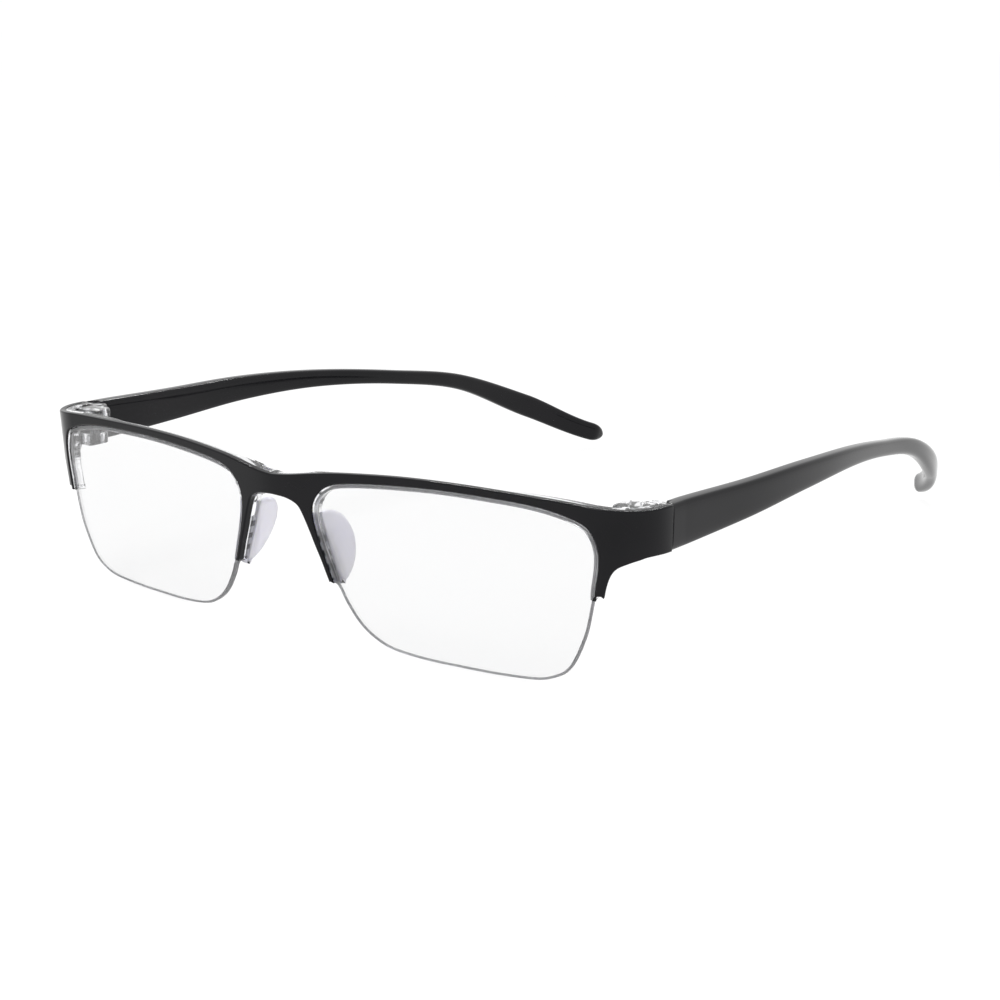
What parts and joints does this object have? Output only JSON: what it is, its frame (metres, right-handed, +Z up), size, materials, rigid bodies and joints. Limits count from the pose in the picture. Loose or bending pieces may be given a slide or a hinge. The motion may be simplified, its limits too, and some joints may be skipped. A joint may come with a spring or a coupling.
{
  "type": "half rim eyeglasses",
  "caption": "Half rim reading glasses with cord-held lenses, two-layer front, slot-in nose pads and long curved folding temples that hang round the neck.",
  "frame": {"origin": "centre of the footprint, on the surface that the lens edges and temple tips rest on", "axes": "+Z up, the front faces -Y and the open temples run back along +Y, +X is the wearer's left and the normal of the plane of symmetry"},
  "size_m": [0.1394, 0.177, 0.0327],
  "materials": {
    "black_front": "polished",
    "clear_liner": "clear, polished",
    "lens": "clear",
    "nylon_cord": "clear",
    "silicone": "frosted",
    "pad_core": "satin",
    "black_temple": "polished",
    "screw_steel": "polished"
  },
  "bodies": {
    "front": {"front_face": "black_front", "front_liner": "clear_liner", "lens_left": "lens", "lens_right": "lens", "lens_cord_left": "nylon_cord", "lens_cord_right": "nylon_cord", "nose_pad_left": "silicone", "nose_pad_right": "silicone", "pad_core_left": "pad_core", "pad_core_right": "pad_core", "hinge_screw_left": "screw_steel", "hinge_screw_right": "screw_steel"},
    "temple_left": {"temple_left": "black_temple"},
    "temple_right": {"temple_right": "black_temple"}
  },
  "joints": [
    {"name": "fold_left", "type": "hinge", "parent": "front", "child": "temple_left", "pos_m": [0.0652, -0.0681, 0.0276], "axis": [0, 0, 1], "range_deg": [0, 78]},
    {"name": "fold_right", "type": "hinge", "parent": "front", "child": "temple_right", "pos_m": [-0.0652, -0.0681, 0.0276], "axis": [0, 0, -1], "range_deg": [0, 60]}
  ]
}
